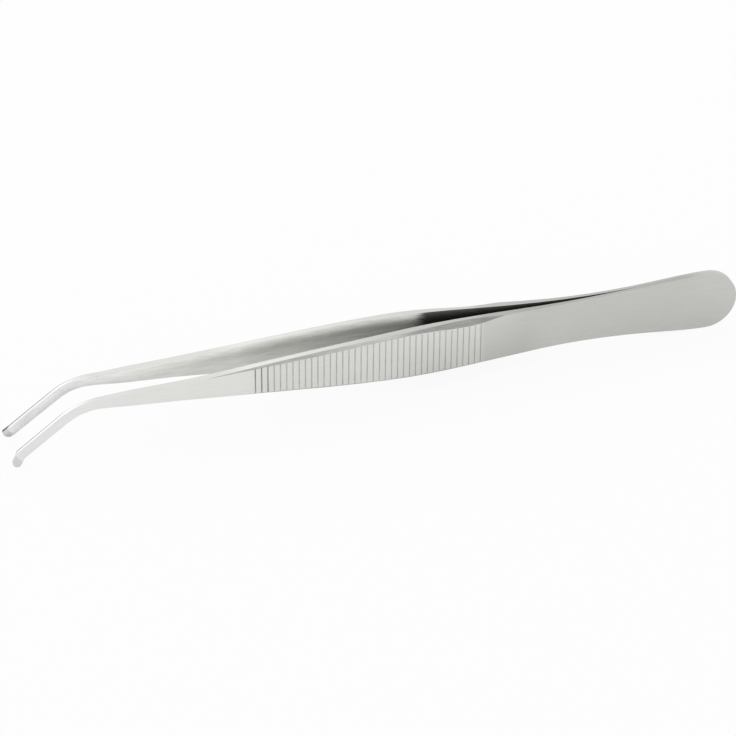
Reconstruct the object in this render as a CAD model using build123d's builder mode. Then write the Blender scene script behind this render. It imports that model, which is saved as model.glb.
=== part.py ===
import os
from math import asin, atan2, cos, degrees, hypot, radians, sin, sqrt

from build123d import *

os.makedirs("parts", exist_ok=True)

# Electronics assembly tweezers with bent tips. Millimetres, +Z up.
# Two mirror-image spring arms of stainless steel are welded face to face at the round tail.
# They lie as they come to rest, on their lower edges: both tips and the tail touch the surface,
# the arms open along Y, and the tips point to -X and bend downwards.

# Spacing of the sections of an arm, from the end of the tail to the tip
weld_length = 18.0
weld_to_waist = 20.0
waist_to_flare = 14.0
flare_to_heel = 3.2
heel_to_grip = 9.8
grip_to_shoulder = 15.0
shoulder_to_taper = 20.0
taper_to_blade = 18.0
blade_to_neck = 10.0
neck_to_bend = 4.5
bend_radius = 12.0
tip_length = 11.0
head_length = 2.3

# Width of an arm at these sections, seen from its broad side
tail_width = 12.7
weld_width = 11.25
waist_width = 9.5
flare_width = 10.15
heel_width = 10.38
grip_width = 10.8
shoulder_width = 9.7
taper_width = 6.55
blade_width = 3.6
neck_width = 2.55
bend_width = 2.06
tip_width = 1.95

# Gap between the inner faces of the two arms
waist_gap = 1.0
flare_gap = 2.24
heel_gap = 2.7
grip_gap = 4.12
shoulder_gap = 5.94
taper_gap = 6.72
blade_gap = 6.98
bend_gap = 7.2
tip_gap = 7.88

# Thickness of an arm
tail_thickness = 0.78
waist_thickness = 0.88
flare_thickness = 1.52
heel_thickness = 1.62
grip_thickness = 1.84
shoulder_thickness = 1.74
taper_thickness = 1.57
blade_thickness = 1.42
bend_thickness = 1.16
tip_thickness = 0.78

# Tips: bent down in the plane of the arms and slightly splayed, each with a head that flares
# outwards and has a shallow seat ground into its inner face (angles in degrees)
tip_angle = 37.2
tip_splay = 0.6
head_drop = 13.0
head_flare = 21.0
head_round_excess = 0.12
seat_depth = 0.2
seat_offset = 0.5

# Bevels along both edges of the outer face in the grip: how far down that face they reach, how
# far past the edge their planes have run out, and how far they lean from the face (degrees)
flare_upper_bevel = 0.4
heel_upper_bevel = 0.95
grip_upper_bevel = 0.76
shoulder_upper_bevel = 0.64
taper_upper_bevel = 0.42
flare_lower_bevel = 0.15
heel_lower_bevel = 0.25
grip_lower_bevel = 0.42
shoulder_lower_bevel = 0.52
taper_lower_bevel = 0.38
waist_run_out = 0.03
blade_run_out = 0.35
upper_bevel_lean = 38.0
lower_bevel_lean = 45.0

# Serration: fine V grooves across the outer face of the grip, counted from the tail's side
groove_count = 38
groove_pitch = 1.264
groove_reach = 55.2
groove_width = 0.28
groove_depth = 0.14

# How far a drawing reaches past the steel that it cuts
clear = 1.0

# The straight body is drawn level: x is 0 at the end of the tail and negative towards the tips,
# and the centre line is at 0
waist_x = -(weld_length + weld_to_waist)
flare_x = waist_x - waist_to_flare
heel_x = flare_x - flare_to_heel
grip_x = heel_x - heel_to_grip
shoulder_x = grip_x - grip_to_shoulder
taper_x = shoulder_x - shoulder_to_taper
blade_x = taper_x - taper_to_blade
neck_x = blade_x - blade_to_neck
bend_x = neck_x - neck_to_bend

# Sections with everything that changes along the grip: x, width, gap, thickness, and how far
# the upper and the lower bevel reach
sections = [
    (waist_x, waist_width, waist_gap, waist_thickness, -waist_run_out, -waist_run_out),
    (flare_x, flare_width, flare_gap, flare_thickness, flare_upper_bevel, flare_lower_bevel),
    (heel_x, heel_width, heel_gap, heel_thickness, heel_upper_bevel, heel_lower_bevel),
    (grip_x, grip_width, grip_gap, grip_thickness, grip_upper_bevel, grip_lower_bevel),
    (
        shoulder_x,
        shoulder_width,
        shoulder_gap,
        shoulder_thickness,
        shoulder_upper_bevel,
        shoulder_lower_bevel,
    ),
    (taper_x, taper_width, taper_gap, taper_thickness, taper_upper_bevel, taper_lower_bevel),
    (blade_x, blade_width, blade_gap, blade_thickness, -blade_run_out, -blade_run_out),
]
edge_points = [(x, width / 2) for x, width, gap, thickness, upper, lower in sections]
inner_points = [(x, gap / 2) for x, width, gap, thickness, upper, lower in sections]
outer_points = [(x, gap / 2 + thickness) for x, width, gap, thickness, upper, lower in sections]
upper_sin, upper_cos = sin(radians(upper_bevel_lean)), cos(radians(upper_bevel_lean))
lower_sin, lower_cos = sin(radians(lower_bevel_lean)), cos(radians(lower_bevel_lean))
upper_bevel_points = [
    (x, (gap / 2 + thickness) * upper_cos + (width / 2 - upper) * upper_sin)
    for x, width, gap, thickness, upper, lower in sections
]
lower_bevel_points = [
    (x, (gap / 2 + thickness) * lower_cos + (width / 2 - lower) * lower_sin)
    for x, width, gap, thickness, upper, lower in sections
]
inner_points.append((bend_x, bend_gap / 2))
outer_points.append((bend_x, bend_gap / 2 + bend_thickness))

# In the plane of the arms: the bend turns about a centre below the body, and the tip and its
# head are straight runs after it
tail_radius = tail_width / 2
half_bend = bend_width / 2
half_tip = tip_width / 2
bend_centre = Vector(bend_x, -bend_radius)
tip_run = Vector(-1, 0).rotate(Axis.Z, tip_angle)
tip_up = Vector(0, 1).rotate(Axis.Z, tip_angle)
head_run = tip_run.rotate(Axis.Z, head_drop)
head_up = tip_up.rotate(Axis.Z, head_drop)
fold_up = tip_up.rotate(Axis.Z, head_drop / 2) / cos(radians(head_drop / 2))
tip_start = bend_centre + tip_up * bend_radius
fold = tip_start + tip_run * tip_length
head_round = half_tip + head_round_excess
head_centre = fold + head_run * (head_length - head_round)
head_corner = head_centre + head_run * sqrt(head_round**2 - half_tip**2)
head_end = fold + head_run * head_length

# Seen from the edge of a tip: x runs down the tip from the bend, y is outwards
flat_x = tip_start.X + tip_width
flat_end_x = tip_start.X - tip_width
tip_inner_y = tip_gap / 2
tip_outer_y = tip_inner_y + tip_thickness
half_thick = tip_thickness / 2
splay_run = Vector(1, 0).rotate(Axis.Z, tip_splay)
splay_out = Vector(0, 1).rotate(Axis.Z, tip_splay)
flare_run = splay_run.rotate(Axis.Z, head_flare)
flare_out = splay_out.rotate(Axis.Z, head_flare)
crease_out = splay_out.rotate(Axis.Z, head_flare / 2) / cos(radians(head_flare / 2))
splay_start = Vector(half_tip, tip_inner_y + half_thick)
crease = splay_start + splay_run * (tip_length - half_tip)
seat_step = crease - flare_out * half_thick + flare_run * seat_offset
past_head = crease + flare_run * (head_length + clear)

# Resting slope: the round of the heads and the round of the tail both touch the surface
span = -tail_radius - head_centre.X
rise = head_centre.Y
slope = asin((head_round - tail_radius) / hypot(span, rise)) - atan2(rise, span)
along = Vector(cos(slope), 0, -sin(slope))
upright = Vector(sin(slope), 0, cos(slope))
outwards = Vector(0, 1, 0)
tail_end_x = along.X * -tail_radius + tail_radius
head_end_x = along.X * head_centre.X + upright.X * head_centre.Y - head_round
origin = Vector(-(tail_end_x + head_end_x) / 2, 0, tail_radius + along.Z * tail_radius)

# Planes of the drawings: broad side, edge side, edge side of a tip, and the two bevels
side_plane = Plane(origin, x_dir=along, z_dir=outwards * -1)
edge_plane = Plane(origin, x_dir=along, z_dir=upright)
tip_origin = side_plane.from_local_coords(tip_start)
tip_along = side_plane.from_local_coords(tip_start + tip_run) - tip_origin
tip_upright = side_plane.from_local_coords(tip_start + tip_up) - tip_origin
tip_plane = Plane(tip_origin, x_dir=tip_along, z_dir=tip_upright * -1)
upper_bevel_plane = Plane(origin, x_dir=along, z_dir=upright * upper_cos - outwards * upper_sin)
lower_bevel_plane = Plane(origin, x_dir=along, z_dir=upright * lower_cos + outwards * lower_sin)
deep = tip_gap + tail_width

with BuildPart() as blade:
    # Broad side of the arm, from the round tail to the end of the bend
    with BuildSketch(side_plane):
        with BuildLine():
            upper_edge = Spline(
                (-tail_radius, tail_radius),
                (-weld_length, weld_width / 2),
                *edge_points,
                (neck_x, neck_width / 2),
                (bend_x, half_bend),
                tangents=((-1, 0), (-1, 0)),
            )
            mirror(upper_edge, about=Plane.XZ)
            ThreePointArc((-tail_radius, tail_radius), (0, 0), (-tail_radius, -tail_radius))
            CenterArc(bend_centre, bend_radius + half_bend, 90, tip_angle)
            CenterArc(bend_centre, bend_radius - half_bend, 90, tip_angle)
            Line(tip_start + tip_up * half_bend, tip_start - tip_up * half_bend)
        make_face()
    extrude(amount=deep, both=True)
    # Bow of the arm: flat in the weld, then bending away and changing its thickness
    with BuildSketch(edge_plane):
        with BuildLine():
            Polyline((-weld_length, tail_thickness), (clear, tail_thickness), (clear, 0), (-weld_length, 0))
            Spline(
                (-weld_length, 0),
                *inner_points,
                (flat_x, tip_inner_y),
                tangents=((-1, 0), (-1, 0)),
            )
            Polyline(
                (flat_x, tip_inner_y),
                (flat_end_x, tip_inner_y),
                (flat_end_x, tip_outer_y),
                (flat_x, tip_outer_y),
            )
            outer_curve = Spline(
                (-weld_length, tail_thickness),
                *outer_points,
                (flat_x, tip_outer_y),
                tangents=((-1, 0), (-1, 0)),
            )
        make_face()
    extrude(amount=deep, both=True, mode=Mode.INTERSECT)

with BuildPart() as tip:
    # Broad side of the straight tip and its round head
    with BuildSketch(side_plane):
        with BuildLine():
            Polyline(
                head_corner + head_up * half_tip,
                fold + fold_up * half_tip,
                tip_start + tip_up * half_bend,
                tip_start - tip_up * half_bend,
                fold - fold_up * half_tip,
                head_corner - head_up * half_tip,
            )
            ThreePointArc(
                head_corner - head_up * half_tip,
                head_end,
                head_corner + head_up * half_tip,
            )
        make_face()
    extrude(amount=deep, both=True)
    # Edge side: a slight splay, then the flared head with the step of its seat
    with BuildSketch(tip_plane):
        with BuildLine():
            Polyline(
                (0, tip_inner_y),
                splay_start - splay_out * half_thick,
                crease - crease_out * half_thick,
                seat_step,
                seat_step + flare_out * seat_depth,
                past_head - flare_out * (half_thick - seat_depth),
                past_head + flare_out * half_thick,
                crease + crease_out * half_thick,
                splay_start + splay_out * half_thick,
                (0, tip_outer_y),
                close=True,
            )
        make_face()
    extrude(amount=deep, both=True, mode=Mode.INTERSECT)

with BuildPart() as far_arm:
    add(blade.part)
    add(tip.part)
    # Bevels along both edges of the outer face in the grip
    for bevel_plane, bevel_points in (
        (upper_bevel_plane, upper_bevel_points),
        (lower_bevel_plane, lower_bevel_points),
    ):
        with BuildSketch(bevel_plane):
            with BuildLine():
                bevel_curve = Spline(*bevel_points)
                Polyline(bevel_curve @ 1, (blade_x, deep), (waist_x, deep), bevel_curve @ 0)
            make_face()
        extrude(amount=deep, both=True, mode=Mode.SUBTRACT)
    # Serration, each groove square to the outer face
    with BuildSketch(edge_plane):
        for index in range(groove_count):
            distance = groove_reach - weld_length + index * groove_pitch
            position = outer_curve.position_at(distance, PositionMode.LENGTH)
            direction = outer_curve.tangent_at(distance, PositionMode.LENGTH)
            turn = degrees(atan2(-direction.Y, -direction.X))
            with Locations(Location(position, (0, 0, turn))):
                Polygon(
                    (-groove_width, groove_depth),
                    (0, -groove_depth),
                    (groove_width, groove_depth),
                    align=None,
                )
    extrude(amount=grip_width, both=True, mode=Mode.SUBTRACT)

with BuildPart() as near_arm:
    add(far_arm.part)
    mirror(about=Plane.XZ, mode=Mode.REPLACE)

for name, arm in (("far_arm", far_arm), ("near_arm", near_arm)):
    arm.part.label = name
    export_step(arm.part, f"parts/{name}.step")
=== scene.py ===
import math

import bmesh
import bpy
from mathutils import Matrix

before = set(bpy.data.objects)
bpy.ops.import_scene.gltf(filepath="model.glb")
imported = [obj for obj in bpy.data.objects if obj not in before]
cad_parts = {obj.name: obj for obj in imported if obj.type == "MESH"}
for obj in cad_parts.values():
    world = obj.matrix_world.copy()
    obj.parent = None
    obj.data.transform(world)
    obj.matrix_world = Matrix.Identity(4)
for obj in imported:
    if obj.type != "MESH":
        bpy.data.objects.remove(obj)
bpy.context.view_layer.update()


# The two spring arms are strips of stainless steel, ground to their taper, bow and
# bevels, and welded flat on flat at the round tail. Belt grinding leaves fine marks
# along each strip. Toward the weld the inner faces are painted dark, as shade between the arms.
class Finish:
    """A socket of a material. Python's operators on it add the Math nodes."""

    def __init__(self, tree, socket=None):
        self.tree, self.socket = tree, socket

    def node(self, kind, settings, sockets, out=0):
        """Adds a node: its settings first, then the values or links of its sockets."""
        made = self.tree.nodes.new(kind)
        for name, value in settings.items():
            setattr(made, name, value)
        for name, value in sockets.items():
            if isinstance(value, Finish):
                self.tree.links.new(value.socket, made.inputs[name])
            else:
                made.inputs[name].default_value = value
        return Finish(self.tree, made.outputs[out])

    def maths(self, operation, *values):
        return self.node("ShaderNodeMath", {"operation": operation}, dict(enumerate(values)))

    def __add__(self, other):
        return self.maths("ADD", self, other)

    def __sub__(self, other):
        return self.maths("SUBTRACT", self, other)

    def __rsub__(self, other):
        return self.maths("SUBTRACT", other, self)

    def __mul__(self, other):
        return self.maths("MULTIPLY", self, other)

    def __abs__(self):
        return self.maths("ABSOLUTE", self)

    __radd__, __rmul__ = __add__, __mul__

    def parts(self):
        """The X, Y and Z of this vector."""
        return [self.node("ShaderNodeSeparateXYZ", {}, {"Vector": self}, axis) for axis in "XYZ"]

    def feed(self, socket):
        """Links this to a socket of a node that is there already."""
        self.tree.links.new(self.socket, socket)

    def between(self, low, high):
        """0 where this is at low, 1 where it is at high, and smooth in between."""
        sockets = {"Value": self, "From Min": low, "From Max": high}
        return self.node("ShaderNodeMapRange", {"interpolation_type": "SMOOTHSTEP"}, sockets)


def steel(name, side):
    """Satin stainless steel of the near arm, with side -1, or of the far arm, with side 1.

    All places are in metres. x runs along the arm, from the tip at -0.0753 to the end of
    the tail at 0.0753, y runs from the near side to the far one, and z runs upwards.
    """
    made = bpy.data.materials.new(name)
    made.use_nodes = True
    finish = Finish(made.node_tree)
    surface = made.node_tree.nodes["Principled BSDF"]
    place = finish.node("ShaderNodeTexCoord", {}, {}, "Object")
    x, y, z = place.parts()

    # Height over the middle line of the strip, which climbs and then bends down at the tip
    bend, bend_round = -0.0613, 0.004
    climb, drop, middle = 0.0333, 0.741, 0.00865
    past_bend = finish.maths("SMOOTH_MAX", bend - x, 0.0, bend_round)
    height = z + climb * x + drop * past_bend - middle
    # Depth under the upper edge of the strip, which tapers from the grip to the tip
    grip_half, tip_half, taper = 0.0052, 0.001, 0.085
    tapered = grip_half + taper * finish.maths("MINIMUM", x, 0.0)
    depth = finish.maths("MAXIMUM", tapered, tip_half) - height

    # The kinds of face are told apart by the direction in which they face
    facing_x, facing_y, facing_z = finish.node("ShaderNodeNewGeometry", {}, {}, "Normal").parts()
    broad = abs(facing_y).between(0.25, 0.4)
    edge = 1 - broad
    inner = (facing_y * -side).between(0.6, 0.9)
    bevel = broad * abs(facing_z).between(0.3, 0.4)
    serrated = x.between(-0.034, -0.032) * (1 - x.between(0.021, 0.023))
    groove = broad * abs(facing_x).between(0.4, 0.6) * serrated

    # Grinding marks run along the strip, and blotches lie anyhow, so many to the metre
    strip = finish.node("ShaderNodeCombineXYZ", {}, {"X": x, "Y": y, "Z": height})

    def marks(along, across, detail, roughness):
        scale = {"Vector": strip, "Scale": (along, across, across)}
        drawn_out = finish.node("ShaderNodeMapping", {}, scale)
        noise = {"Vector": drawn_out, "Scale": 1.0, "Detail": detail, "Roughness": roughness}
        return finish.node("ShaderNodeTexNoise", {}, noise)

    def blotches(scale, detail):
        noise = {"Vector": place, "Scale": scale, "Detail": detail}
        return finish.node("ShaderNodeTexNoise", {}, noise)

    coarse_marks = marks(220, 3200, 3.0, 0.6)
    fine_marks = marks(900, 16000, 2.0, 0.5)
    clouds = blotches(90.0, 2.0) - 0.5
    specks = blotches(500.0, 1.0)
    streaks = coarse_marks.between(0.3, 0.7) - 0.5

    # The grip and the tail are painted darker than the working half, as shade standing in for
    # dimmer reflections, with random blotches of tone over all
    working_tone, grip_painted_shade, heel_painted_shade, tail_painted_shade = 0.855, 0.055, 0.11, 0.065
    bright = working_tone - grip_painted_shade * x.between(-0.029, -0.024)
    bright = bright - heel_painted_shade * x.between(0.0195, 0.0215)
    bright = bright - tail_painted_shade * x.between(0.022, 0.034) + 0.04 * clouds
    # Round the heel of the grip the outer face is painted darker downwards, as shade toward the
    # table, by this much to the metre
    shade_painted_downwards = 16
    heel = x.between(-0.005, 0.012) * (1 - x.between(0.026, 0.036))
    bright = bright * (1 - shade_painted_downwards * heel * depth)

    # Bevels are a little coarser, and are painted darker as shade, most of all on the rear half
    # of the grip
    bevel_painted_shade = 0.44 - 0.12 * x.between(-0.014, -0.004) + 0.24 * x.between(0.001, 0.008)
    bevel_painted_shade = bevel_painted_shade - 0.12 * x.between(0.02, 0.028)
    # The narrow edges are painted darker too, as shade, most along the blade and least at the
    # tip and the tail's end
    edge_painted_shade = 0.03 + 0.31 * x.between(-0.065, -0.058)
    edge_painted_shade = edge_painted_shade - 0.12 * x.between(-0.034, -0.024) - 0.15 * x.between(0.063, 0.07)
    # On the near arm the edges get more painted shade along the grip and less along the tail
    if side < 0:
        edge_painted_shade = edge_painted_shade + 0.12 * x.between(-0.022, 0.003) - 0.06 * x.between(0.03, 0.05)
    bright = bright * (1 - bevel_painted_shade * bevel) * (1 - edge_painted_shade * edge)
    # The joint of the welded tails shows as a fine dark line, but not round their end
    seam_darker = 0.35
    seam = (1 - abs(y).between(0.00003, 0.0001)) * x.between(0.052, 0.057)
    bright = bright * (1 - seam_darker * seam * edge * (1 - x.between(0.062, 0.07)))

    # The heads are painted a little darker, as shade on the bent tip, from a straight border
    # across it
    tip_level, tip_upright, head_painted_shade = 0.816, 0.578, 0.15
    along_tip = tip_level * x + tip_upright * z
    bright = bright * (1 - head_painted_shade * (1 - along_tip.between(-0.0596, -0.0593)))
    # A fine dark line is painted along the back of the tip's upper edge, as the shade of an edge
    # rounding that is not modelled
    outer_face, inner_face, inner_slant, edge_line_painted_shade = 0.00472, -0.00243, 0.0221, 0.75
    back = outer_face if side > 0 else inner_slant * x + inner_face
    line = edge * (y - back).between(-0.00028, -0.00014)
    bright = bright * (1 - edge_line_painted_shade * line * (1 - x.between(-0.066, -0.058)))

    # Inner faces are painted darker below the stretch that rolls off to the upper edge: painted
    # shade, where less light reaches down between the arms
    ragged = 0.0009 * streaks + 0.0012 * (specks - 0.5)
    painted_shade_below_roll = (depth + ragged).between(0.0009, 0.0025)
    bright = bright * (1 - inner * painted_shade_below_roll * (0.14 + 0.06 * x.between(-0.02, 0.003)))
    # Toward the weld, behind a ragged border, they are painted dark: painted shade between the
    # closing arms
    gap_painted_shade = 0.84
    border = x + 0.0012 * streaks + 0.002 * (specks - 0.5)
    bright = bright * (1 - gap_painted_shade * inner * border.between(0.0078, 0.0105))
    # The groove walls of the serration are painted darker as shade in the grooves, the first
    # three most
    groove_painted_shade, first_grooves_painted_shade = 0.25, 0.22
    first_three_grooves = 1 - x.between(-0.0238, -0.0232)
    bright = bright * (1 - groove * (groove_painted_shade * specks + first_grooves_painted_shade * first_three_grooves))
    # The marks of the belt show most on the bevels and the inner faces
    outer_marks, inner_marks, bevel_marks = 0.035, 0.16, 0.2
    bright = bright * (1 + streaks * (outer_marks + inner_marks * inner + bevel_marks * bevel))

    # The steel is a little warm, but for the tips, which are a neutral grey
    neutral, warmer = 0.998, 0.033
    blue = bright * (neutral - warmer * x.between(-0.066, -0.04))
    tint = {"Red": bright, "Green": bright, "Blue": blue}
    finish.node("ShaderNodeCombineColor", {}, tint).feed(surface.inputs["Base Color"])
    rough = 0.33 + 0.08 * bevel + 0.06 * streaks + 0.12 * inner
    rough.feed(surface.inputs["Roughness"])
    surface.inputs["Metallic"].default_value = 1.0
    # The inner face rolls off softly over its uppermost stretch
    roll_reach, roll_strength, mark_height = 0.0026, 70, 0.0000035
    over = finish.maths("MAXIMUM", roll_reach - depth, 0.0)
    roll_off = roll_strength * inner * over * over
    relief = mark_height * (fine_marks + coarse_marks) - roll_off
    bump = {"Strength": 1.0, "Distance": 1.0, "Height": relief}
    finish.node("ShaderNodeBump", {}, bump).feed(surface.inputs["Normal"])
    return made


for name, side in (("near_arm", -1), ("far_arm", 1)):
    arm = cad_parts[name]
    arm.data.materials.clear()
    arm.data.materials.append(steel(name + "_steel", side))


# The tweezers lie on a white table top, which goes on out of sight behind them.
# Its shade is even, and only the soft shadow of the steel shows on it.
def white_to_the_eye(tree, plain, white, to_camera, to_metal):
    """Mixes white into the plain shader where the camera, metal or glass looks at it."""
    finish = Finish(tree)
    seen = finish.node("ShaderNodeLightPath", {}, {}, "Is Camera Ray")
    mirrored = finish.node("ShaderNodeLightPath", {}, {}, "Is Glossy Ray")
    mirrored = mirrored + finish.node("ShaderNodeLightPath", {}, {}, "Is Transmission Ray")
    share = finish.maths("MINIMUM", seen * to_camera + mirrored * to_metal, 1.0)
    return finish.node("ShaderNodeMixShader", {}, {0: share, 1: plain, 2: white})


half_side, paper_grey = 4.0, 0.88
sheet = bmesh.new()
bmesh.ops.create_grid(sheet, x_segments=1, y_segments=1, size=half_side)
mesh = bpy.data.meshes.new("table_top")
sheet.to_mesh(mesh)
sheet.free()
table_top = bpy.data.objects.new("table_top", mesh)
bpy.context.scene.collection.objects.link(table_top)
paper = bpy.data.materials.new("white_paper")
paper.use_nodes = True
finish = Finish(paper.node_tree)
grey = (paper_grey, paper_grey, paper_grey, 1)
plain = finish.node("ShaderNodeBsdfDiffuse", {}, {"Color": grey})
white = finish.node("ShaderNodeEmission", {}, {"Color": (1, 1, 1, 1), "Strength": 1.0})
shown = white_to_the_eye(paper.node_tree, plain, white, to_camera=0.9, to_metal=0.3)
shown.feed(paper.node_tree.nodes["Material Output"].inputs["Surface"])
mesh.materials.append(paper)


# The light is plain and soft: an even pale room all round, and one soft box behind
# the tips at the left, which shows as the bright line along their upper edges.
room = bpy.data.worlds.new("pale_room")
room.use_nodes = True
bpy.context.scene.world = room
finish = Finish(room.node_tree)
plain = finish.node("ShaderNodeBackground", {}, {"Color": (1, 1, 1, 1), "Strength": 0.95})
white = finish.node("ShaderNodeBackground", {}, {"Color": (1, 1, 1, 1), "Strength": 1.0})
shown = white_to_the_eye(room.node_tree, plain, white, to_camera=1.0, to_metal=1.0)
shown.feed(room.node_tree.nodes["World Output"].inputs["Surface"])

box = bpy.data.lights.new("soft_box", "AREA")
box.shape, box.size, box.size_y, box.energy = "RECTANGLE", 0.7, 0.5, 0.5
soft_box = bpy.data.objects.new("soft_box", box)
soft_box.location = (-0.2, 0.56, 0.42)
soft_box.rotation_euler = (-soft_box.location).to_track_quat("-Z", "Y").to_euler()
bpy.context.scene.collection.objects.link(soft_box)


# The camera looks down at the arms from the side of the tips, a good third of a right
# angle above the table, and takes in the whole length with a long lens.
lens = bpy.data.cameras.new("camera")
lens.lens, lens.sensor_width = 158.243, 36.0
lens.clip_start, lens.clip_end = 0.05, 20.0
camera = bpy.data.objects.new("camera", lens)
camera.location = (-0.140198, -0.512553, 0.366199)
camera.rotation_euler = [math.radians(turn) for turn in (55.7080, 1.3617, -15.9826)]
bpy.context.scene.collection.objects.link(camera)
bpy.context.scene.camera = camera
bpy.context.scene.view_settings.view_transform = "Standard"
